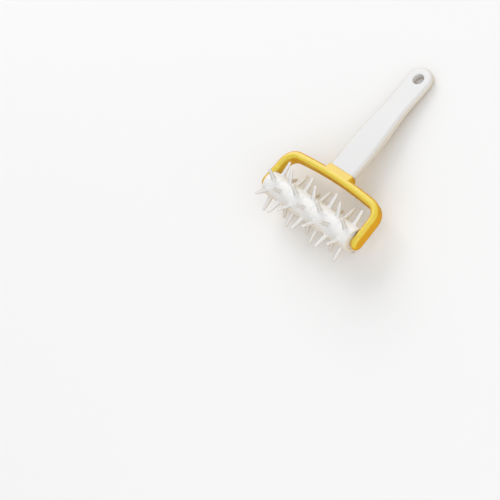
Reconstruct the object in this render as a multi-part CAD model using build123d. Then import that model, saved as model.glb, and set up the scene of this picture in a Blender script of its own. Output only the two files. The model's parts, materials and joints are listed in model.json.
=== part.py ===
from build123d import *
import os
from math import acos, asin, atan2, cos, degrees, hypot, radians, sin, tan

# Dough docker: a spiked roller that turns between the arms of a yoke with a flat handle.
# Lengths are in millimetres and angles in degrees.
# The tool is built flat first: X along the roller's axis, Y from the axis towards the handle's end,
# Z square to the plane of the yoke. Then it is laid down as it rests on a table, on its spikes and
# the end of its handle.

# Spiked rings, which are stacked to make the roller
ring_count = 7
ring_width = 15.0
ring_radius = 11.0
ring_edge_radius = 10.8
rim_wall = 2.1
web_thickness = 2.4
hub_wall = 1.5
spikes_per_ring = 6
spike_reach = 24.7
spike_tip_radius = 1.25
spike_taper = 4.2
spike_flare = 1.2
spike_row_lean = 9.6

# Caps, which close the two ends of the roller between rim and hub
end_cap_thickness = 1.4
end_cap_recess = 0.8
end_cap_clearance = 0.05
end_cap_chamfer = 0.3

# Spindle, which carries the rings and turns in the arms
spindle_radius = 4.4
spline_radius = 0.7
spline_clearance = 0.1
journal_radius = 3.0
journal_clearance = 0.05
journal_chamfer = 0.4
journal_end_gap = 0.3
end_play = 0.3

# Yoke
arm_thickness = 6.0
arm_depth = 13.8
arm_lean = 1.0
arm_boss_height = 0.3
arm_boss_radius = 5.4
bar_thickness = 7.0
bar_distance = 31.7
bar_bow = 3.6
yoke_corner_radius = 12.4
yoke_edge_radius = 2.95
socket_depth = 4.0

# Block on the yoke's bar, which takes the handle
block_width = 28.2
block_thickness = 8.6
block_projection = 4.4
block_corner_radius = 1.8
block_edge_radius = 0.9
block_root_radius = 2.6
tang_socket_width = 18.0
tang_socket_thickness = 4.0
tang_socket_depth = 8.5
snap_rib_radius = 0.5
snap_rib_share = 0.6

# Handle
handle_length = 114.8
handle_root_width = 27.2
handle_thumb_width = 27.6
handle_palm_width = 26.0
handle_waist_width = 22.8
handle_end_width = 24.6
handle_root_thickness = 7.2
handle_middle_thickness = 8.4
handle_end_thickness = 6.6
handle_edge_radius = 2.6
tang_clearance = 0.1
tang_end_gap = 0.5
hanging_hole_radius = 5.0
hanging_hole_edge_radius = 0.7

# Where the handle's widths and thicknesses lie, as shares of its length from the block
thumb_share = 0.12
palm_share = 0.4
waist_share = 0.62
middle_share = 0.45
flat_end_share = 0.76

cut_overrun = 1.0

# Worked out from the sizes above
roller_length = ring_count * ring_width
arm_inner_x = roller_length / 2 + end_play + arm_boss_height
ring_step = 180.0 / spikes_per_ring
spline_count = 2 * spikes_per_ring
bore_radius = spindle_radius + spline_clearance
hub_radius = bore_radius + spline_radius + hub_wall
rim_inner_radius = ring_edge_radius - rim_wall
block_root = bar_distance + bar_bow
block_reach = block_root + bar_thickness / 2 + block_projection
handle_tip = block_reach + handle_length
handle_end_radius = handle_end_width / 2


def spike():
    """One tapered spike with a round tip, standing up from the roller's axis along Z."""
    side = Vector(cos(radians(spike_taper)), sin(radians(spike_taper)))
    tip_middle = Vector(0, spike_reach - spike_tip_radius)
    shoulder = tip_middle + side * spike_tip_radius
    root_height = ring_radius - rim_wall / 2
    root_radius = shoulder.X + (shoulder.Y - root_height) * tan(radians(spike_taper))
    tip_arc_middle = tip_middle + Vector(1, 1).normalized() * spike_tip_radius
    outline = Polyline((0, spike_reach), (0, root_height), (root_radius, root_height), shoulder)
    tip = ThreePointArc(shoulder, tip_arc_middle, (0, spike_reach))
    return revolve(Plane.XZ * make_face(outline + tip), Axis.Z)


def ring_body():
    """The ring without its spikes: rim, web and hub, turned about the X axis."""
    half_width = ring_width / 2
    crown = ThreePointArc((-half_width, ring_edge_radius), (0, ring_radius), (half_width, ring_edge_radius))
    sides = Polyline((half_width, ring_edge_radius), (half_width, 0), (-half_width, 0),
                     (-half_width, ring_edge_radius))
    barrel = revolve(Plane.XY * make_face(crown + sides), Axis.X)
    recess_depth = (ring_width - web_thickness) / 2
    recess = Cylinder(rim_inner_radius, recess_depth) - Cylinder(hub_radius, recess_depth)
    recess_x = (web_thickness + recess_depth) / 2
    for side in (-1, 1):
        barrel -= Pos(side * recess_x, 0, 0) * Rot(Y=90) * recess
    return barrel


def spline_ribs(length, radius):
    """The ribs along the spindle, or the grooves that take them in a ring's bore."""
    rib = Rot(Y=90) * Cylinder(radius, length)
    return [Rot(X=index * 360 / spline_count) * Pos(0, 0, spindle_radius) * rib
            for index in range(spline_count)]


def spiked_ring():
    """One ring about the X axis, with its first spike along Z."""
    body = ring_body()
    spikes = [Rot(X=index * 360 / spikes_per_ring) * spike() for index in range(spikes_per_ring)]
    ring = body + spikes
    ring = fillet(new_edges(body, *spikes, combined=ring), spike_flare)
    bore = Rot(Y=90) * Cylinder(bore_radius, ring_width + cut_overrun)
    ring -= bore
    for groove in spline_ribs(ring_width + cut_overrun, spline_radius + spline_clearance):
        ring -= groove
    return ring


def end_cap():
    """A flat washer that closes the open end of an outer ring, with its outer face up."""
    cap = Cylinder(rim_inner_radius, end_cap_thickness)
    cap = chamfer(cap.edges().group_by(Axis.Z)[-1], end_cap_chamfer)
    return cap - Cylinder(hub_radius + end_cap_clearance, end_cap_thickness)


def spindle():
    """The ribbed core of the roller, with a journal at each end."""
    core = Rot(Y=90) * Cylinder(spindle_radius, roller_length)
    for rib in spline_ribs(roller_length, spline_radius):
        core += rib
    journal_length = end_play + socket_depth - journal_end_gap
    journal = Cylinder(journal_radius, journal_length, align=(Align.CENTER, Align.CENTER, Align.MIN))
    journal = chamfer(journal.edges().group_by(Axis.Z)[-1], journal_chamfer)
    for turn in (90, -90):
        core += Rot(Y=turn) * Pos(0, 0, roller_length / 2) * journal
    return core


def yoke_plan():
    """The yoke seen square on: two arms and a bowed bar with rounded corners."""
    arm_foot = -arm_depth / 2
    lean_per_length = arm_lean / bar_distance
    outer_y = bar_distance + bar_thickness / 2
    inner_y = bar_distance - bar_thickness / 2
    outer_x = arm_inner_x + arm_thickness
    outer_foot = (outer_x - arm_foot * lean_per_length, arm_foot)
    outer_corner = (outer_x - outer_y * lean_per_length, outer_y)
    inner_corner = (arm_inner_x - inner_y * lean_per_length, inner_y)
    inner_foot = (arm_inner_x - arm_foot * lean_per_length, arm_foot)

    def left(point):
        return (-point[0], point[1])

    outline = Polyline(left(outer_corner), left(outer_foot), left(inner_foot), left(inner_corner))
    outline += ThreePointArc(left(inner_corner), (0, inner_y + bar_bow), inner_corner)
    outline += Polyline(inner_corner, inner_foot, outer_foot, outer_corner)
    outline += ThreePointArc(outer_corner, (0, outer_y + bar_bow), left(outer_corner))
    plan = make_face(outline)
    for corner, radius in ((outer_corner, yoke_corner_radius + arm_thickness / 2),
                           (inner_corner, yoke_corner_radius - arm_thickness / 2)):
        pair = [plan.vertices().sort_by_distance(point)[0] for point in (corner, left(corner))]
        plan = fillet(pair, radius)
    return plan


def handle_block():
    """The block on the bar, whose flat top and bottom leave the bar's rounded edges without a step."""
    end_corner = Vector(block_reach, block_thickness / 2)
    ridge_middle = Vector(block_root + bar_thickness / 2, arm_depth / 2) - Vector(1, 1) * yoke_edge_radius
    run = end_corner - ridge_middle
    turn = atan2(run.Y, run.X) + acos(yoke_edge_radius / run.length)
    touch = ridge_middle + Vector(cos(turn), sin(turn)) * yoke_edge_radius
    top = Polyline((block_root, 0), (block_root, ridge_middle.Y), touch, end_corner, (block_reach, 0))
    side_view = Plane((0, 0, 0), x_dir=(0, 1, 0), z_dir=(1, 0, 0))
    block = extrude(side_view * make_face(top + mirror(top, Plane.XZ)), block_width / 2, both=True)
    end_corners = block.edges().filter_by(Axis.Z).group_by(Axis.Y)[-1]
    block = fillet(end_corners, block_corner_radius)
    rounded = [edge for edge in block.edges() if edge.center().Y > touch.X + cut_overrun]
    return fillet(rounded, block_edge_radius) + hollow_corners()


def hollow_corners():
    """The hollow corners in which the block's two sides grow out of the bar."""
    half_width = block_width / 2
    side = half_width + block_root_radius
    foot_y = block_root + bar_thickness / 2 - bar_bow * (side / arm_inner_x) ** 2
    corner_y = foot_y + block_root_radius
    bend = block_root_radius * (1 - sin(radians(45)))
    outline = Polyline((half_width, corner_y), (-half_width, corner_y))
    outline += ThreePointArc((-half_width, corner_y), (-half_width - bend, foot_y + bend), (-side, foot_y))
    outline += Polyline((-side, foot_y), (-side, block_root), (side, block_root), (side, foot_y))
    outline += ThreePointArc((side, foot_y), (half_width + bend, foot_y + bend), (half_width, corner_y))
    web = extrude(make_face(outline), arm_depth / 2 - yoke_edge_radius, both=True)
    return fillet(web.edges().filter_by(GeomType.CIRCLE), block_edge_radius)


def tang_space(clearance, end_gap):
    """The tang, or the socket around it, with a snap rib across each of its faces."""
    width = tang_socket_width - 2 * clearance
    thickness = tang_socket_thickness - 2 * clearance
    depth = tang_socket_depth - end_gap
    tang = Pos(0, block_reach - depth / 2, 0) * Box(width, depth, thickness)
    rib = Rot(Y=90) * Cylinder(snap_rib_radius - clearance, width)
    for side in (-1, 1):
        rib_y = block_reach - snap_rib_share * tang_socket_depth
        tang += Pos(0, rib_y, side * thickness / 2) * rib
    return tang


def yoke():
    """The U-shaped frame with its bearing sockets and the block for the handle."""
    frame = extrude(yoke_plan(), arm_depth / 2, both=True)
    reach = block_reach + cut_overrun
    span = 2 * (arm_inner_x + arm_thickness + cut_overrun)
    arm_sides = Pos(0, reach / 2, 0) * Box(span, reach, arm_depth)
    arm_sides += Rot(Y=90) * Cylinder(arm_depth / 2, span)
    frame = frame & arm_sides
    outline_edges = [edge for edge in frame.edges()
                     if not (edge.geom_type == GeomType.LINE and abs(edge.tangent_at(0).Y) < sin(radians(1)))]
    frame = fillet(outline_edges, yoke_edge_radius)
    frame += handle_block()
    boss = Rot(Y=90) * Cylinder(arm_boss_radius, arm_thickness / 2)
    socket_length = socket_depth + cut_overrun
    socket = Rot(Y=90) * Cylinder(journal_radius + journal_clearance, socket_length)
    boss_face = roller_length / 2 + end_play
    for side in (-1, 1):
        frame += Pos(side * (boss_face + arm_thickness / 4), 0, 0) * boss
        frame -= Pos(side * (boss_face + socket_depth - socket_length / 2), 0, 0) * socket
    return frame - tang_space(0, 0)


def handle_plan():
    """The handle seen square on, with a round end."""
    widths = [(handle_root_width, 0), (handle_thumb_width, thumb_share), (handle_palm_width, palm_share),
              (handle_waist_width, waist_share)]
    points = [(width / 2, block_reach + share * handle_length) for width, share in widths]
    end_y = handle_tip - handle_end_radius
    right = Spline(points + [(handle_end_radius, end_y)], tangents=[(0, 1), (0, 1)])
    left = mirror(right, Plane.YZ)
    end = ThreePointArc((handle_end_radius, end_y), (0, handle_tip), (-handle_end_radius, end_y))
    root = Line((-handle_root_width / 2, block_reach), (handle_root_width / 2, block_reach))
    return make_face(right + end + left + root)


def handle_side():
    """The handle seen from its side: slightly thicker in the middle, flat at its end."""
    flat_y = block_reach + flat_end_share * handle_length
    middle_y = block_reach + middle_share * handle_length
    points = [(block_reach, handle_root_thickness / 2), (middle_y, handle_middle_thickness / 2),
              (flat_y, handle_end_thickness / 2)]
    top = Spline(points, tangents=[(1, 0), (1, 0)])
    tip = handle_tip + cut_overrun
    top += Line((flat_y, handle_end_thickness / 2), (tip, handle_end_thickness / 2))
    bottom = mirror(top, Plane.XZ)
    root = Line((block_reach, handle_root_thickness / 2), (block_reach, -handle_root_thickness / 2))
    end = Line((tip, handle_end_thickness / 2), (tip, -handle_end_thickness / 2))
    return make_face(top + bottom + root + end)


def handle():
    """The flat grip, its hanging hole and the tang that snaps into the yoke's block."""
    grip = extrude(handle_plan(), handle_middle_thickness, both=True)
    side_view = Plane((0, 0, 0), x_dir=(0, 1, 0), z_dir=(1, 0, 0))
    grip = grip & extrude(side_view * handle_side(), handle_root_width, both=True)
    edges = [edge for edge in grip.edges()
             if not (edge.geom_type == GeomType.LINE and abs(edge.tangent_at(0).Y) < sin(radians(1)))]
    grip = fillet(edges, handle_edge_radius)
    end_y = handle_tip - handle_end_radius
    grip -= Pos(0, end_y, 0) * Cylinder(hanging_hole_radius, handle_middle_thickness)
    rims = [edge for edge in grip.edges().filter_by(GeomType.CIRCLE)
            if abs(edge.radius - hanging_hole_radius) < tang_clearance]
    grip = fillet(rims, hanging_hole_edge_radius)
    return grip + tang_space(tang_clearance, tang_end_gap)


def resting_tilt():
    """How far the tool leans, in degrees, when its spikes and the end of its handle touch the table."""
    axis_height = (spike_reach - spike_tip_radius) * cos(radians(spike_row_lean)) + spike_tip_radius
    contact_y = handle_tip - handle_edge_radius
    contact_z = handle_end_thickness / 2 - handle_edge_radius
    drop = axis_height - handle_edge_radius
    return degrees(asin(drop / hypot(contact_y, contact_z)) - atan2(contact_z, contact_y))


def build():
    """All pieces by node name, laid down at rest with the part's middle over the origin."""
    # A row of spikes near the table leans a little from straight down, towards the handle.
    first_turn = 180 + resting_tilt() + spike_row_lean + ring_step
    pieces = {"yoke": yoke(), "handle": handle(), "spindle": Rot(X=first_turn) * spindle()}
    ring = spiked_ring()
    for index in range(ring_count):
        place = Pos((index - (ring_count - 1) / 2) * ring_width, 0, 0)
        pieces[f"spiked_ring_{index + 1}"] = place * Rot(X=first_turn + index * ring_step) * ring
    cap_x = roller_length / 2 - end_cap_recess - end_cap_thickness / 2
    for name, turn in (("left_end_cap", -90), ("right_end_cap", 90)):
        pieces[name] = Rot(Y=turn) * Pos(0, 0, cap_x) * end_cap()
    laid = {name: Rot(X=-resting_tilt()) * piece for name, piece in pieces.items()}
    boxes = [piece.bounding_box() for piece in laid.values()]
    near = min(box.min.Y for box in boxes)
    far = max(box.max.Y for box in boxes)
    low = min(box.min.Z for box in boxes)
    to_origin = Pos(0, -(near + far) / 2, -low)
    return {name: to_origin * piece for name, piece in laid.items()}


os.makedirs("parts", exist_ok=True)
for name, piece in build().items():
    export_step(piece, f"parts/{name}.step")
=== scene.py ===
import json
import math

import bmesh
import bpy
from mathutils import Matrix, Vector


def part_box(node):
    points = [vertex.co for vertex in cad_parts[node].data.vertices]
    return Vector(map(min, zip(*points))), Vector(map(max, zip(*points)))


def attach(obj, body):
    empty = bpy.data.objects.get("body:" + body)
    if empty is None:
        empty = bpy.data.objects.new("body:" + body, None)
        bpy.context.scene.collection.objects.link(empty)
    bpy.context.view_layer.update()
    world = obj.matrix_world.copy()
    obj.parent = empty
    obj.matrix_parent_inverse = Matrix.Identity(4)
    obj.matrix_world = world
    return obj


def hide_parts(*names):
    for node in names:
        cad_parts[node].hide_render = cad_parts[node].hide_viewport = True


bl_info = {
    "name": "Dough docker",
    "version": (1, 0, 0),
    "blender": (4, 5, 0),
    "location": "3D View > Sidebar > Dough docker",
    "description": "Dresses the packed dough docker: yoke, handle, spindle and spiked rings",
    "category": "Object",
}

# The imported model, loaded once. Everything below is in metres, in its frame.
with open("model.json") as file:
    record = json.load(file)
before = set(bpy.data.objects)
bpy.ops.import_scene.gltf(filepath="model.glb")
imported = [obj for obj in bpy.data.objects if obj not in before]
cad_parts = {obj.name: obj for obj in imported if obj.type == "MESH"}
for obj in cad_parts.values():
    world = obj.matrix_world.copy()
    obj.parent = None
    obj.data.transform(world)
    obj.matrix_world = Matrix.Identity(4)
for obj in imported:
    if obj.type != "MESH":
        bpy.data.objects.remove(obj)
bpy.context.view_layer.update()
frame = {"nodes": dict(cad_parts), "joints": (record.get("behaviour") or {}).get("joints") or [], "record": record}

MM = 0.001
SPIN = frame["joints"][0]
AXIS_POINT = Vector(SPIN["pos_m"])
HANGING_HOLE = frame["record"]["mounts"][0]
TOOL_UP = Vector(HANGING_HOLE["axis"]).normalized()
TOOL_RIGHT = Vector((1, 0, 0))
TOOL_FORWARD = TOOL_UP.cross(TOOL_RIGHT)
TOOL_AXES = Matrix((TOOL_RIGHT, TOOL_FORWARD, TOOL_UP)).transposed()
RING_NODES = sorted(name for name in frame["nodes"] if name.startswith("spiked_ring_"))
CAP_NODES = sorted(name for name in frame["nodes"] if name.endswith("_end_cap"))
RING_LOW, RING_HIGH = (Vector(corner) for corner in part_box(RING_NODES[0]))

# What all the plastics have in common. Light spreads under the skin, each colour as far as its
# share of the glow's depth. The parting line's height is in depths of the pitting.
IOR = 1.49
COAT_ROUGHNESS = 0.32
GLOW_SHARES = (1.0, 0.8, 0.6)
GLOW_DEPTH = 2.0 * MM
PARTING_LINE_WIDTH = 0.12 * MM
PARTING_LINE_HEIGHT = 2.0

# What they differ in. The deep colour is given as shares of the colour itself, and the tone share
# is how much of it comes and goes over the surface. Pitting is in grains to the metre.
YOKE_FINISH = {
    "deep_shares": (0.97, 0.93, 0.85), "tone_share": 0.3,
    "roughness": 0.34, "roughness_spread": 0.06,
    "pitting": 1400.0, "pitting_depth": 0.008 * MM,
    "coat": 1.0, "glow": 0.3}
HANDLE_FINISH = {
    "deep_shares": (0.95, 0.95, 0.95), "tone_share": 0.2,
    "roughness": 0.36, "roughness_spread": 0.05,
    "pitting": 1500.0, "pitting_depth": 0.006 * MM,
    "coat": 0.1, "glow": 0.1}
ROLLER_FINISH = {
    "deep_shares": (0.96, 0.955, 0.94), "tone_share": 0.2,
    "roughness": 0.4, "roughness_spread": 0.05,
    "pitting": 1700.0, "pitting_depth": 0.006 * MM,
    "coat": 0.1, "glow": 0.1}

# Noise of the moulded skin, as waves to the metre and levels of detail
NOISE_MIDDLE = 0.5
TONE_SCALE, TONE_DETAIL = 45.0, 3
SMEAR_SCALE, SMEAR_DETAIL = 160.0, 5
RIPPLE_SCALE, RIPPLE_DETAIL = 260.0, 1
PITTING_DETAIL = 4

# Slants, from 0 square on to 1 along the surface, between which the painted shade of the sides sets in
YOKE_PAINTED_SHADE_SLANTS = (0.25, 0.5)
SPIKE_PAINTED_SHADE_SLANTS = (0.15, 0.45)
# Height over the rim at which the painted shade on a spike's sides begins
SPIKE_PAINTED_SHADE_START = 0.2 * MM

# Divisions of a ring's mesh, and the places of the rim's rows between a spike's foot and the border
TIP_STEPS = 5
SIDE_STEPS = 4
FLARE_STEPS = 6
BORDER_STEPS = 8
RIM_SHARES = (0.34, 0.67, 0.86, 0.95, 1.0)
WELD_DISTANCE = 0.01 * MM
CREASE_ANGLE = math.radians(35)
# Digits of a distance in metres, so that spikes of one length count as equally long
LENGTH_DIGITS = 5

# The stage. A lamp's direction is in the picture's own terms: to the right, up, towards the camera.
KEY_LAMP = {"direction": (-0.42, 0.90, 0.035), "distance": 3.0, "size": 2.2}
FILL_LAMP = {"direction": (0.25, -0.2, 0.95), "distance": 2.5, "size": 2.5}
FRONT_LAMP = {"direction": (-0.60, -0.55, 0.45), "distance": 2.5, "size": 1.5}
SENSOR_WIDTH_IN_MM = 36
CLIP_START = 0.01
FLOOR_HALF_WIDTH = 30.0
FLOOR_ROUGHNESS = 0.9
FLOOR_SPECULAR = 0.1
FADE_START, FADE_END = 0.7, 2.2
WHITE = (1, 1, 1, 1)


# Sizes and colours that a user would change

class SpikedRingSizes(bpy.types.PropertyGroup):
    """Sizes of one spiked ring. All rings of the roller are alike."""

    width: bpy.props.FloatProperty(
        name="Width", description="Length of one ring along the roller",
        default=RING_HIGH.x - RING_LOW.x, unit="LENGTH")
    middle_radius: bpy.props.FloatProperty(
        name="Middle radius", description="Radius of the rim at the row of spikes",
        default=11.0 * MM, unit="LENGTH")
    edge_radius: bpy.props.FloatProperty(
        name="Edge radius", description="Radius of the rim where it meets the next ring",
        default=10.8 * MM, unit="LENGTH")
    rim_wall: bpy.props.FloatProperty(
        name="Rim wall", description="Thickness of the rim", default=2.1 * MM, unit="LENGTH")
    web: bpy.props.FloatProperty(
        name="Web", description="Thickness of the disc between rim and hub",
        default=2.4 * MM, unit="LENGTH")
    hub_radius: bpy.props.FloatProperty(
        name="Hub radius", description="Outer radius of the hub", default=6.7 * MM,
        unit="LENGTH")
    bore_radius: bpy.props.FloatProperty(
        name="Bore radius", description="Radius of the hole that the spindle fills",
        default=4.5 * MM, unit="LENGTH")
    rounding: bpy.props.FloatProperty(
        name="Edge rounding", description="Rounding of the rim's outer edges",
        default=0.12 * MM, unit="LENGTH")
    spikes: bpy.props.IntProperty(
        name="Spikes", description="Number of spikes round one ring", default=6, min=3, max=12)
    reach: bpy.props.FloatProperty(
        name="Reach", description="Distance of a spike's tip from the roller's axis",
        default=24.7 * MM, unit="LENGTH")
    tip_radius: bpy.props.FloatProperty(
        name="Tip radius", description="Radius of a spike's round tip",
        default=1.25 * MM, unit="LENGTH")
    taper: bpy.props.FloatProperty(
        name="Taper", description="Angle of a spike's side to its own axis",
        default=math.radians(4.2), subtype="ANGLE")
    flare: bpy.props.FloatProperty(
        name="Flare", description="Radius of the hollow where a spike grows out of the rim",
        default=1.2 * MM, unit="LENGTH")


class DockerColours(bpy.types.PropertyGroup):
    """Colours of the moulded plastics, as linear values."""

    yoke: bpy.props.FloatVectorProperty(
        name="Yoke", description="Yellow of the yoke, seen square on", subtype="COLOR",
        size=3, min=0, max=1, default=(0.865, 0.68, 0.06))
    # Painted shade: the yoke turns to this orange where its surface slants away from the camera
    yoke_painted_shade: bpy.props.FloatVectorProperty(
        name="Yoke's sides", description="Deeper yellow of the yoke, seen along its surface",
        subtype="COLOR", size=3, min=0, max=1, default=(0.80, 0.38, 0.002))
    handle: bpy.props.FloatVectorProperty(
        name="Handle", description="White of the handle", subtype="COLOR",
        size=3, min=0, max=1, default=(0.80, 0.80, 0.80))
    roller: bpy.props.FloatVectorProperty(
        name="Roller", description="White of the rings and the spindle", subtype="COLOR",
        size=3, min=0, max=1, default=(0.90, 0.895, 0.885))
    # Painted shade: the spikes' sides turn to this grey where they slant away from the camera
    spike_painted_shade: bpy.props.FloatVectorProperty(
        name="Spikes' sides", description="White of the spikes, seen along their surface",
        subtype="COLOR", size=3, min=0, max=1, default=(0.68, 0.68, 0.68))
    floor: bpy.props.FloatVectorProperty(
        name="Floor", description="Colour of the floor", subtype="COLOR",
        size=3, min=0, max=1, default=(0.93, 0.93, 0.93))
    floor_bounce: bpy.props.FloatVectorProperty(
        name="Floor bounce", description="Colour of the light that the floor throws at the tool",
        subtype="COLOR", size=3, min=0, max=1, default=(0.80, 0.65, 0.44))
    floor_gloss: bpy.props.FloatVectorProperty(
        name="Floor in a gloss", description="Colour of the floor where a gloss mirrors it",
        subtype="COLOR", size=3, min=0, max=1, default=(0.60, 0.40, 0.08))


class StudioSettings(bpy.types.PropertyGroup):
    """The camera's place and the lamps. The camera's directions are along the roller, towards the
    handle's end and square to the yoke."""

    lens: bpy.props.FloatProperty(
        name="Lens", description="Focal length in millimetres", default=64.44)
    camera_place: bpy.props.FloatVectorProperty(
        name="Camera place", description="Where the camera stands, from the middle of the roller",
        subtype="TRANSLATION", size=3, default=(0.43921, -0.09323, 0.62064))
    camera_right: bpy.props.FloatVectorProperty(
        name="Camera right", description="Direction of the picture's right side",
        subtype="DIRECTION", size=3, default=(0.63148, 0.64235, -0.43429))
    camera_up: bpy.props.FloatVectorProperty(
        name="Camera up", description="Direction of the picture's upper side",
        subtype="DIRECTION", size=3, default=(-0.49557, 0.76512, 0.41111))
    key_power: bpy.props.FloatProperty(
        name="Key lamp", description="Power of the soft lamp at the upper left", default=40.0,
        unit="POWER")
    fill_power: bpy.props.FloatProperty(
        name="Fill lamp", description="Power of the broad lamp near the camera", default=18.8,
        unit="POWER")
    front_power: bpy.props.FloatProperty(
        name="Front lamp", description="Power of the weak low lamp before the roller", default=5.0,
        unit="POWER")
    room_light: bpy.props.FloatProperty(
        name="Room light", description="Strength of the even white light of the room", default=0.64)
    room_gloss: bpy.props.FloatProperty(
        name="Room gloss", description="Brightness of the room where a glossy surface mirrors it",
        default=0.15)


def sizes():
    return bpy.context.scene.docker_ring_sizes


def colours():
    return bpy.context.scene.docker_colours


def studio():
    return bpy.context.scene.docker_studio


# Nodes and shader groups that more than one plastic uses

def new_group(name, inputs, outputs):
    """A shader node group with named sockets, what it is given and what it has to fill."""
    group = bpy.data.node_groups.new(name, "ShaderNodeTree")
    for label, kind, value in inputs:
        socket = group.interface.new_socket(name=label, in_out="INPUT", socket_type=kind)
        if value is not None:
            socket.default_value = value
    for label, kind in outputs:
        group.interface.new_socket(name=label, in_out="OUTPUT", socket_type=kind)
    given = group.nodes.new("NodeGroupInput").outputs
    results = group.nodes.new("NodeGroupOutput").inputs
    return group, given, results


def shared_group(name, build):
    """A shader group by its name, built when it is first asked for."""
    return bpy.data.node_groups.get(name) or build()


def feed(tree, value, socket):
    """Links an input to another node's result, or sets it to a plain value."""
    if isinstance(value, bpy.types.NodeSocket):
        tree.links.new(value, socket)
    else:
        socket.default_value = value


def object_place(tree):
    """Object coordinates, which are the frame's own because every object is at the origin."""
    return tree.nodes.new("ShaderNodeTexCoord").outputs["Object"]


def math_node(tree, operation, *values):
    """A Math node fed by results or plain numbers. Returns its result."""
    node = tree.nodes.new("ShaderNodeMath")
    node.operation = operation
    for value, socket in zip(values, node.inputs):
        feed(tree, value, socket)
    return node.outputs["Value"]


def vector_node(tree, operation, *values, result="Vector"):
    """A Vector Math node fed by results or plain vectors. Returns its result."""
    node = tree.nodes.new("ShaderNodeVectorMath")
    node.operation = operation
    for value, socket in zip(values, node.inputs):
        feed(tree, value, socket)
    return node.outputs[result]


def noise_node(tree, place, scale, detail):
    """A Noise Texture. Returns its single value, around a half."""
    node = tree.nodes.new("ShaderNodeTexNoise")
    feed(tree, place, node.inputs["Vector"])
    feed(tree, scale, node.inputs["Scale"])
    feed(tree, detail, node.inputs["Detail"])
    return node.outputs["Fac"]


def rise_between(tree, value, start, end, smooth=False):
    """Nothing for values up to the start, one for those past the end, and a rise between them."""
    node = tree.nodes.new("ShaderNodeMapRange")
    node.interpolation_type = "SMOOTHSTEP" if smooth else "LINEAR"
    feed(tree, value, node.inputs["Value"])
    feed(tree, start, node.inputs["From Min"])
    feed(tree, end, node.inputs["From Max"])
    return node.outputs["Result"]


def mix_colours(tree, share, first, second):
    """The first of two colours where the share is nothing, and the second where it is one."""
    mix = tree.nodes.new("ShaderNodeMix")
    mix.data_type = "RGBA"
    feed(tree, share, mix.inputs["Factor"])
    feed(tree, first, mix.inputs["A"])
    feed(tree, second, mix.inputs["B"])
    return mix.outputs["Result"]


def mix_shaders(tree, share, first, second):
    """The first of two shaders where the share is nothing, and the second where it is one."""
    mix = tree.nodes.new("ShaderNodeMixShader")
    feed(tree, share, mix.inputs["Fac"])
    feed(tree, first, mix.inputs[1])
    feed(tree, second, mix.inputs[2])
    return mix.outputs[0]


def moulded_skin_group():
    """Slow tone changes, fine pitting and handling marks of a moulded plastic skin."""
    group, given, results = new_group(
        "moulded_skin",
        [("Colour", "NodeSocketColor", (0.8, 0.8, 0.8, 1)),
         ("Deep colour", "NodeSocketColor", (0.6, 0.6, 0.6, 1)),
         ("Tone share", "NodeSocketFloat", 0.2),
         ("Roughness", "NodeSocketFloat", 0.3),
         ("Roughness spread", "NodeSocketFloat", 0.1),
         ("Pitting scale", "NodeSocketFloat", 1500.0),
         ("Ripple share", "NodeSocketFloat", 0.5)],
        [("Colour", "NodeSocketColor"), ("Roughness", "NodeSocketFloat"),
         ("Height", "NodeSocketFloat")])
    place = object_place(group)
    slow = noise_node(group, place, TONE_SCALE, TONE_DETAIL)
    fine = noise_node(group, place, given["Pitting scale"], PITTING_DETAIL)
    smears = noise_node(group, place, SMEAR_SCALE, SMEAR_DETAIL)
    ripple = noise_node(group, place, RIPPLE_SCALE, RIPPLE_DETAIL)
    amount = math_node(group, "MULTIPLY", slow, given["Tone share"])
    tone = mix_colours(group, amount, given["Colour"], given["Deep colour"])
    feed(group, tone, results["Colour"])
    from_middle = math_node(group, "SUBTRACT", smears, NOISE_MIDDLE)
    spread = math_node(group, "MULTIPLY", from_middle, given["Roughness spread"])
    roughness = math_node(group, "ADD", given["Roughness"], spread)
    feed(group, roughness, results["Roughness"])
    slow_height = math_node(group, "MULTIPLY", ripple, given["Ripple share"])
    feed(group, math_node(group, "ADD", fine, slow_height), results["Height"])
    return group


def parting_line_group():
    """A fine raised line where the two halves of a mould met, in the plane through a point."""
    group, given, results = new_group(
        "parting_line",
        [("Point", "NodeSocketVector", None), ("Across", "NodeSocketVector", None),
         ("Width", "NodeSocketFloat", PARTING_LINE_WIDTH)],
        [("Line", "NodeSocketFloat")])
    offset = vector_node(group, "SUBTRACT", object_place(group), given["Point"])
    distance = vector_node(group, "DOT_PRODUCT", offset, given["Across"], result="Value")
    ratio = math_node(group, "DIVIDE", math_node(group, "ABSOLUTE", distance), given["Width"])
    fall = math_node(group, "SUBTRACT", 1.0, ratio)
    feed(group, math_node(group, "MAXIMUM", fall, 0.0), results["Line"])
    return group


# The plastics

def spikes_painted_shade_mask(tree):
    """Mask of the spikes' painted shade: nothing on the rim, one on the spikes, from the distance to the axis."""
    offset = vector_node(tree, "SUBTRACT", object_place(tree), AXIS_POINT)
    across = vector_node(tree, "MULTIPLY", offset, (0, 1, 1))
    radius = vector_node(tree, "LENGTH", across, result="Value")
    return rise_between(tree, radius, sizes().middle_radius + SPIKE_PAINTED_SHADE_START,
                        sizes().middle_radius + sizes().flare)


def paint_shade_by_slant(tree, colour, shade_colour, slants, share=None):
    """Painted shade: one colour turns into another where the surface slants away, by a share if given."""
    weight = tree.nodes.new("ShaderNodeLayerWeight")
    amount = rise_between(tree, weight.outputs["Facing"], *slants)
    if share is not None:
        amount = math_node(tree, "MULTIPLY", amount, share)
    return mix_colours(tree, amount, (*colour, 1), (*shade_colour, 1))


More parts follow.
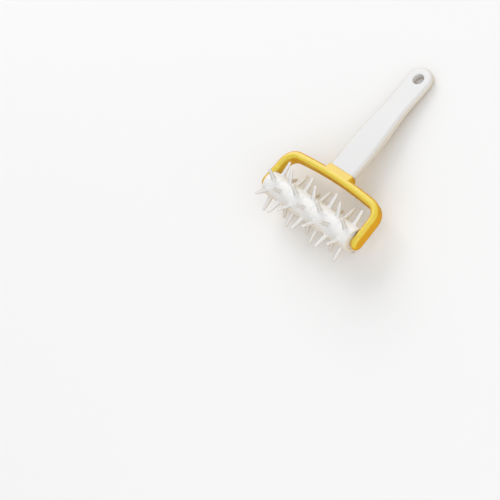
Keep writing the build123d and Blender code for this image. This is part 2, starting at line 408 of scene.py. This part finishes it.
def plastic(name, colour, finish, parting_line=False):
    """A moulded plastic with pitting, slow changes of tone, a gloss and a glow under its skin."""
    material = bpy.data.materials.new(name)
    material.use_nodes = True
    tree = material.node_tree
    shader = tree.nodes["Principled BSDF"]
    skin = tree.nodes.new("ShaderNodeGroup")
    skin.name = "skin"
    skin.node_tree = shared_group("moulded_skin", moulded_skin_group)
    deep_colour = [value * share for value, share in zip(colour, finish["deep_shares"])]
    skin.inputs["Colour"].default_value = (*colour, 1)
    skin.inputs["Deep colour"].default_value = (*deep_colour, 1)
    skin.inputs["Tone share"].default_value = finish["tone_share"]
    skin.inputs["Roughness"].default_value = finish["roughness"]
    skin.inputs["Roughness spread"].default_value = finish["roughness_spread"]
    skin.inputs["Pitting scale"].default_value = finish["pitting"]
    tree.links.new(skin.outputs["Colour"], shader.inputs["Base Color"])
    tree.links.new(skin.outputs["Roughness"], shader.inputs["Roughness"])
    height = skin.outputs["Height"]
    if parting_line:
        line = tree.nodes.new("ShaderNodeGroup")
        line.node_tree = shared_group("parting_line", parting_line_group)
        line.inputs["Point"].default_value = AXIS_POINT
        line.inputs["Across"].default_value = TOOL_UP
        raised = math_node(tree, "MULTIPLY", line.outputs["Line"], PARTING_LINE_HEIGHT)
        height = math_node(tree, "ADD", height, raised)
    relief = tree.nodes.new("ShaderNodeBump")
    relief.inputs["Distance"].default_value = finish["pitting_depth"]
    tree.links.new(height, relief.inputs["Height"])
    tree.links.new(relief.outputs["Normal"], shader.inputs["Normal"])
    shader.inputs["IOR"].default_value = IOR
    shader.inputs["Coat Weight"].default_value = finish["coat"]
    shader.inputs["Coat Roughness"].default_value = COAT_ROUGHNESS
    shader.inputs["Subsurface Weight"].default_value = finish["glow"]
    shader.inputs["Subsurface Radius"].default_value = GLOW_SHARES
    shader.inputs["Subsurface Scale"].default_value = GLOW_DEPTH
    return material


def yoke_plastic():
    """The yellow plastic, with painted shade: it turns orange where it slants away."""
    yellow = plastic("yoke_yellow_plastic", colours().yoke, YOKE_FINISH, parting_line=True)
    tree = yellow.node_tree
    tone = paint_shade_by_slant(tree, colours().yoke, colours().yoke_painted_shade, YOKE_PAINTED_SHADE_SLANTS)
    tree.links.new(tone, tree.nodes["skin"].inputs["Colour"])
    return yellow


def roller_plastic():
    """The white plastic of the whole roller, with painted shade on the spikes' sides. It is made once."""
    name = "roller_white_plastic"
    if name in bpy.data.materials:
        return bpy.data.materials[name]
    white = plastic(name, colours().roller, ROLLER_FINISH)
    tree = white.node_tree
    tone = paint_shade_by_slant(tree, colours().roller, colours().spike_painted_shade, SPIKE_PAINTED_SHADE_SLANTS,
                           spikes_painted_shade_mask(tree))
    tree.links.new(tone, tree.nodes["skin"].inputs["Colour"])
    return white


def repaint(node_name, material):
    """Gives a CAD node a finished material in place of its plain one."""
    mesh = frame["nodes"][node_name].data
    mesh.materials.clear()
    mesh.materials.append(material)


# The spiked rings

def spike_outline(ring):
    """Points from a spike's tip down its side to near its flare, as (offset from the spike's axis,
    distance from the roller's axis), and the offset at which the flare begins."""
    tip_middle = ring.reach - ring.tip_radius
    points = []
    for step in range(1, TIP_STEPS + 1):
        angle = math.pi / 2 - (math.pi / 2 - ring.taper) * step / TIP_STEPS
        points.append((ring.tip_radius * math.cos(angle),
                       tip_middle + ring.tip_radius * math.sin(angle)))
    shoulder_offset, shoulder_height = points[-1]
    flare_top = ring.middle_radius + ring.flare
    root_offset = shoulder_offset + (shoulder_height - flare_top) * math.tan(ring.taper)
    for step in range(1, SIDE_STEPS):
        share = step / SIDE_STEPS
        points.append((shoulder_offset + (root_offset - shoulder_offset) * share,
                       shoulder_height + (flare_top - shoulder_height) * share))
    return points, root_offset


def rim_radius(ring, along):
    """Radius of the rim at a distance along the roller from the row of spikes."""
    share = abs(along) / (ring.width / 2)
    radius = ring.middle_radius - (ring.middle_radius - ring.edge_radius) * share ** 2
    edge = ring.width / 2 - abs(along)
    if edge < ring.rounding:
        drop = ring.rounding - edge
        radius -= ring.rounding - math.sqrt(max(ring.rounding ** 2 - drop ** 2, 0))
    return radius


def at_radius(along, radius, turn):
    """A point at a distance along the roller, a radius from its axis and a turn about it from Z."""
    return Vector((along, radius * math.sin(turn), radius * math.cos(turn)))


def sector_border(ring):
    """Points once round a sector's edge, as (distance along the roller, turn about its axis)."""
    half_width, half_turn = ring.width / 2, math.pi / ring.spikes
    corners = ((1, -1), (1, 1), (-1, 1), (-1, -1))
    border = []
    for (along, turn), (next_along, next_turn) in zip(corners, corners[1:] + corners[:1]):
        for step in range(BORDER_STEPS):
            share = step / BORDER_STEPS
            border.append((half_width * (along + (next_along - along) * share),
                           half_turn * (turn + (next_turn - turn) * share)))
    return border


def spike_rows(build, ring, angles):
    """Rows of vertices round a spike, from its tip to its flare's foot, and the foot's offset."""
    outline, root_offset = spike_outline(ring)
    rows = []
    for offset, height in outline:
        rows.append([build.verts.new((offset * math.cos(angle), offset * math.sin(angle), height))
                     for angle in angles])
    for step in range(FLARE_STEPS + 1):
        bend = math.pi / 2 * step / FLARE_STEPS
        offset = root_offset + ring.flare * (1 - math.cos(bend))
        lift = ring.flare * (1 - math.sin(bend))
        row = []
        for angle in angles:
            along, aside = offset * math.cos(angle), offset * math.sin(angle)
            ground = math.sqrt(rim_radius(ring, along) ** 2 - aside ** 2)
            row.append(build.verts.new((along, aside, ground + lift)))
        rows.append(row)
    return rows, root_offset + ring.flare


def rim_rows(build, ring, foot_offset, angles, border):
    """Rows of vertices on the rim, from the foot of the spike out to the sector's border."""
    rows = []
    for share in RIM_SHARES:
        row = []
        for angle, (edge_along, edge_turn) in zip(angles, border):
            foot_along = foot_offset * math.cos(angle)
            foot_turn = math.asin(foot_offset * math.sin(angle) / rim_radius(ring, foot_along))
            along = foot_along + (edge_along - foot_along) * share
            turn = foot_turn + (edge_turn - foot_turn) * share
            row.append(build.verts.new(at_radius(along, rim_radius(ring, along), turn)))
        rows.append(row)
    return rows


def add_side(build, ring, side):
    """One open side of a sector: the rim's end and inner wall, the web, the hub and the bore."""
    half_width, half_turn = ring.width / 2, math.pi / ring.spikes
    inner_rim = ring.edge_radius - ring.rim_wall
    profile = [(half_width, rim_radius(ring, half_width)), (half_width, inner_rim + ring.rounding),
               (half_width - ring.rounding, inner_rim), (ring.web / 2, inner_rim),
               (ring.web / 2, ring.hub_radius), (half_width, ring.hub_radius),
               (half_width, ring.bore_radius), (0, ring.bore_radius)]
    turns = [half_turn * (2 * step / BORDER_STEPS - 1) for step in range(BORDER_STEPS + 1)]
    strips = [[build.verts.new(at_radius(side * along, radius, turn)) for turn in turns]
              for along, radius in profile]
    for outer, inner in zip(strips, strips[1:]):
        for index in range(BORDER_STEPS):
            build.faces.new((outer[index], outer[index + 1], inner[index + 1], inner[index]))


def sector_mesh(ring):
    """One spike and its share of the rim, web and hub, with the spike standing along Z."""
    half_width, half_turn = ring.width / 2, math.pi / ring.spikes
    border = sector_border(ring)
    angles = [math.atan2(turn / half_turn, along / half_width) for along, turn in border]
    build = bmesh.new()
    rows, foot_offset = spike_rows(build, ring, angles)
    rows += rim_rows(build, ring, foot_offset, angles, border)
    tip = build.verts.new((0, 0, ring.reach))
    count = len(border)
    for index in range(count):
        build.faces.new((tip, rows[0][index], rows[0][(index + 1) % count]))
    for upper, lower in zip(rows, rows[1:]):
        for index in range(count):
            following = (index + 1) % count
            build.faces.new((upper[index], lower[index], lower[following], upper[following]))
    for side in (1, -1):
        add_side(build, ring, side)
    bmesh.ops.remove_doubles(build, verts=build.verts, dist=WELD_DISTANCE)
    mesh = bpy.data.meshes.new("spiked_ring_sector")
    build.to_mesh(mesh)
    build.free()
    return mesh


def ring_tree():
    """Geometry Nodes that set copies of a sector round the roller's axis, as one closed ring."""
    tree = bpy.data.node_groups.new("spiked_ring_round_axis", "GeometryNodeTree")
    for label, kind in (("Geometry", "Geometry"), ("Spikes", "Int"), ("First spike", "Float"),
                        ("Place", "Vector"), ("Weld distance", "Float"), ("Plastic", "Material")):
        socket = tree.interface.new_socket(
            name=label, in_out="INPUT", socket_type=f"NodeSocket{kind}")
        if label == "First spike":
            socket.subtype = "ANGLE"
    tree.interface.new_socket(
        name="Geometry", in_out="OUTPUT", socket_type="NodeSocketGeometry")
    nodes, link = tree.nodes, tree.links.new
    given = nodes.new("NodeGroupInput").outputs
    result = nodes.new("NodeGroupOutput").inputs
    row = nodes.new("GeometryNodeMeshLine")
    row.inputs["Offset"].default_value = (0, 0, 0)
    link(given["Spikes"], row.inputs["Count"])
    index = nodes.new("GeometryNodeInputIndex").outputs[0]
    step = math_node(tree, "DIVIDE", 2 * math.pi, given["Spikes"])
    turn = math_node(tree, "MULTIPLY_ADD", index, step, given["First spike"])
    rotation = nodes.new("ShaderNodeCombineXYZ")
    link(turn, rotation.inputs["X"])
    copies = nodes.new("GeometryNodeInstanceOnPoints")
    link(row.outputs["Mesh"], copies.inputs["Points"])
    link(given["Geometry"], copies.inputs["Instance"])
    link(rotation.outputs[0], copies.inputs["Rotation"])
    real = nodes.new("GeometryNodeRealizeInstances")
    link(copies.outputs[0], real.inputs[0])
    place = nodes.new("GeometryNodeSetPosition")
    link(real.outputs[0], place.inputs["Geometry"])
    link(given["Place"], place.inputs["Offset"])
    weld = nodes.new("GeometryNodeMergeByDistance")
    link(place.outputs[0], weld.inputs["Geometry"])
    link(given["Weld distance"], weld.inputs["Distance"])
    smooth = nodes.new("GeometryNodeSetShadeSmooth")
    link(weld.outputs[0], smooth.inputs["Geometry"])
    paint = nodes.new("GeometryNodeSetMaterial")
    link(smooth.outputs[0], paint.inputs["Geometry"])
    link(given["Plastic"], paint.inputs["Material"])
    link(paint.outputs[0], result["Geometry"])
    return tree


def apply_tree(piece, tree, values):
    """Runs a Geometry Nodes tree on a piece and keeps the result as its plain mesh."""
    modifier = piece.modifiers.new("shape", "NODES")
    modifier.node_group = tree
    for socket in tree.interface.items_tree:
        if socket.in_out == "INPUT" and socket.name in values:
            modifier[socket.identifier] = values[socket.name]
    bpy.context.view_layer.update()
    graph = bpy.context.evaluated_depsgraph_get()
    made = bpy.data.meshes.new_from_object(piece.evaluated_get(graph), depsgraph=graph)
    piece.modifiers.remove(modifier)
    piece.data = made
    return made


def first_spike_turn(node_name):
    """Angle about X from straight up to a ring's highest spike, read from its CAD node."""
    mesh = frame["nodes"][node_name].data
    farthest = max((Vector((0, *(vertex.co - AXIS_POINT).yz)) for vertex in mesh.vertices),
                   key=lambda offset: (round(offset.length, LENGTH_DIGITS), offset.z))
    return math.atan2(-farthest.y, farthest.z)


def sharpen_creases(mesh, angle):
    """Keeps edges flat-shaded where two faces meet at more than the angle."""
    build = bmesh.new()
    build.from_mesh(mesh)
    bmesh.ops.recalc_face_normals(build, faces=build.faces)
    for edge in build.edges:
        if len(edge.link_faces) == 2 and edge.calc_face_angle() > angle:
            edge.smooth = False
    build.to_mesh(mesh)
    build.free()


# Operators, one for each piece or group of like pieces and one for the stage

class DOCKER_OT_yoke(bpy.types.Operator):
    """Finish the yellow yoke"""

    bl_idname = "docker.yoke"
    bl_label = "Yoke"

    def execute(self, context):
        repaint("yoke", yoke_plastic())
        return {"FINISHED"}


class DOCKER_OT_handle(bpy.types.Operator):
    """Finish the white handle"""

    bl_idname = "docker.handle"
    bl_label = "Handle"

    def execute(self, context):
        repaint("handle", plastic("handle_white_plastic", colours().handle, HANDLE_FINISH,
                                  parting_line=True))
        return {"FINISHED"}


class DOCKER_OT_spindle(bpy.types.Operator):
    """Finish the white spindle inside the rings"""

    bl_idname = "docker.spindle"
    bl_label = "Spindle"

    def execute(self, context):
        repaint("spindle", roller_plastic())
        return {"FINISHED"}


class DOCKER_OT_end_caps(bpy.types.Operator):
    """Finish the white caps in the roller's ends"""

    bl_idname = "docker.end_caps"
    bl_label = "End caps"

    def execute(self, context):
        for name in CAP_NODES:
            repaint(name, roller_plastic())
        return {"FINISHED"}


class DOCKER_OT_spiked_rings(bpy.types.Operator):
    """Build the roller's spiked rings, each in the place of its CAD node"""

    bl_idname = "docker.spiked_rings"
    bl_label = "Spiked rings"

    def execute(self, context):
        ring = sizes()
        tree = ring_tree()
        for name in RING_NODES:
            low, high = (Vector(corner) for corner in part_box(name))
            piece = bpy.data.objects.new(f"{name}_moulding", sector_mesh(ring))
            context.scene.collection.objects.link(piece)
            place = Vector(((low.x + high.x) / 2, AXIS_POINT.y, AXIS_POINT.z))
            mesh = apply_tree(piece, tree, {
                "Spikes": ring.spikes, "First spike": first_spike_turn(name), "Place": place,
                "Weld distance": WELD_DISTANCE, "Plastic": roller_plastic()})
            if not mesh.vertices:
                raise RuntimeError(f"the tree made no mesh for {name}")
            sharpen_creases(mesh, CREASE_ANGLE)
            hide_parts(name)
            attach(piece, SPIN["child"])
        return {"FINISHED"}


class DOCKER_OT_stage(bpy.types.Operator):
    """Set up the floor, the room light, the lamps and the camera"""

    bl_idname = "docker.stage"
    bl_label = "Stage"

    def execute(self, context):
        build_floor()
        build_room()
        aim = camera_matrix()
        build_lamp("key_lamp", aim, studio().key_power, **KEY_LAMP)
        build_lamp("fill_lamp", aim, studio().fill_power, **FILL_LAMP)
        build_lamp("front_lamp", aim, studio().front_power, **FRONT_LAMP)
        camera = bpy.data.cameras.new("camera")
        camera.lens = studio().lens
        camera.sensor_width = SENSOR_WIDTH_IN_MM
        camera.clip_start = CLIP_START
        holder = bpy.data.objects.new("camera", camera)
        context.scene.collection.objects.link(holder)
        place = AXIS_POINT + TOOL_AXES @ Vector(studio().camera_place)
        holder.matrix_world = Matrix.Translation(place) @ aim
        context.scene.camera = holder
        context.scene.view_settings.view_transform = "Standard"
        return {"FINISHED"}


def camera_matrix():
    """The camera's turn, from the picture's right and upper sides."""
    right = (TOOL_AXES @ Vector(studio().camera_right)).normalized()
    up = TOOL_AXES @ Vector(studio().camera_up)
    back = right.cross(up).normalized()
    up = back.cross(right)
    return Matrix((right, up, back)).transposed().to_4x4()


def fade_to_white(tree, surface, camera_ray):
    """Far from the tool a camera sees the floor as white as the room, so no line parts them."""
    distance = vector_node(tree, "LENGTH", object_place(tree), result="Value")
    fade = rise_between(tree, distance, FADE_START, FADE_END, smooth=True)
    white = tree.nodes.new("ShaderNodeEmission")
    return mix_shaders(tree, math_node(tree, "MULTIPLY", fade, camera_ray), surface,
                       white.outputs[0])


def see_through_from_below(tree, surface, camera_ray):
    """The floor hides nothing from a camera under it."""
    side = tree.nodes.new("ShaderNodeNewGeometry")
    share = math_node(tree, "MULTIPLY", side.outputs["Backfacing"], camera_ray)
    clear = tree.nodes.new("ShaderNodeBsdfTransparent")
    return mix_shaders(tree, share, surface, clear.outputs[0])


def floor_colour(tree, rays):
    """The floor's colour for the camera, for the light that it throws back and for a gloss."""
    plain = mix_colours(tree, rays["Is Camera Ray"], (*colours().floor_bounce, 1),
                        (*colours().floor, 1))
    return mix_colours(tree, rays["Is Glossy Ray"], plain, (*colours().floor_gloss, 1))


def build_floor():
    """A plain pale floor, far wider than any view of the tool."""
    half = FLOOR_HALF_WIDTH
    mesh = bpy.data.meshes.new("floor")
    mesh.from_pydata([(-half, -half, 0), (half, -half, 0), (half, half, 0), (-half, half, 0)], [],
                     [(0, 1, 2, 3)])
    floor = bpy.data.objects.new("floor", mesh)
    bpy.context.scene.collection.objects.link(floor)
    material = bpy.data.materials.new("floor_paper")
    material.use_nodes = True
    tree = material.node_tree
    shader = tree.nodes["Principled BSDF"]
    rays = tree.nodes.new("ShaderNodeLightPath").outputs
    tree.links.new(floor_colour(tree, rays), shader.inputs["Base Color"])
    shader.inputs["Roughness"].default_value = FLOOR_ROUGHNESS
    shader.inputs["Specular IOR Level"].default_value = FLOOR_SPECULAR
    shown = fade_to_white(tree, shader.outputs[0], rays["Is Camera Ray"])
    shown = see_through_from_below(tree, shown, rays["Is Camera Ray"])
    tree.links.new(shown, tree.nodes["Material Output"].inputs["Surface"])
    mesh.materials.append(material)


def build_room():
    """Even white light, dimmer in a gloss, and plain white where a camera sees past the floor."""
    world = bpy.data.worlds.new("room")
    bpy.context.scene.world = world
    world.use_nodes = True
    tree = world.node_tree
    light = tree.nodes["Background"]
    light.inputs["Color"].default_value = WHITE
    light.inputs["Strength"].default_value = studio().room_light
    rays = tree.nodes.new("ShaderNodeLightPath").outputs
    shown = light.outputs[0]
    for ray, strength in (("Is Glossy Ray", studio().room_gloss), ("Is Camera Ray", 1.0)):
        other = tree.nodes.new("ShaderNodeBackground")
        other.inputs["Color"].default_value = WHITE
        other.inputs["Strength"].default_value = strength
        shown = mix_shaders(tree, rays[ray], shown, other.outputs[0])
    tree.links.new(shown, tree.nodes["World Output"].inputs["Surface"])


def build_lamp(name, aim, power, direction, distance, size):
    """A soft square lamp that looks at the roller's middle."""
    lamp = bpy.data.lights.new(name, "AREA")
    lamp.shape = "SQUARE"
    lamp.size = size
    lamp.energy = power
    towards = (aim.to_3x3() @ Vector(direction)).normalized()
    holder = bpy.data.objects.new(name, lamp)
    bpy.context.scene.collection.objects.link(holder)
    holder.location = AXIS_POINT + towards * distance
    holder.rotation_mode = "QUATERNION"
    holder.rotation_quaternion = (-towards).to_track_quat("-Z", "Y")


class DOCKER_PT_panel(bpy.types.Panel):
    """The steps that dress the dough docker"""

    bl_idname = "DOCKER_PT_panel"
    bl_label = "Dough docker"
    bl_space_type = "VIEW_3D"
    bl_region_type = "UI"
    bl_category = "Dough docker"

    def draw(self, context):
        for step in STEPS:
            self.layout.operator(step.bl_idname, text=step.bl_label)


STEPS = (DOCKER_OT_yoke, DOCKER_OT_handle, DOCKER_OT_spindle, DOCKER_OT_end_caps,
         DOCKER_OT_spiked_rings, DOCKER_OT_stage)
SETTINGS = {"docker_ring_sizes": SpikedRingSizes, "docker_colours": DockerColours,
            "docker_studio": StudioSettings}


def register():
    for group in SETTINGS.values():
        bpy.utils.register_class(group)
    for name, group in SETTINGS.items():
        setattr(bpy.types.Scene, name, bpy.props.PointerProperty(type=group))
    for step in STEPS:
        bpy.utils.register_class(step)
    bpy.utils.register_class(DOCKER_PT_panel)


def unregister():
    bpy.utils.unregister_class(DOCKER_PT_panel)
    for step in reversed(STEPS):
        bpy.utils.unregister_class(step)
    for name, group in SETTINGS.items():
        delattr(bpy.types.Scene, name)
        bpy.utils.unregister_class(group)


def main():
    register()
    bpy.ops.docker.yoke()
    bpy.ops.docker.handle()
    bpy.ops.docker.spindle()
    bpy.ops.docker.end_caps()
    bpy.ops.docker.spiked_rings()
    bpy.ops.docker.stage()


if __name__ == "__main__":
    main()
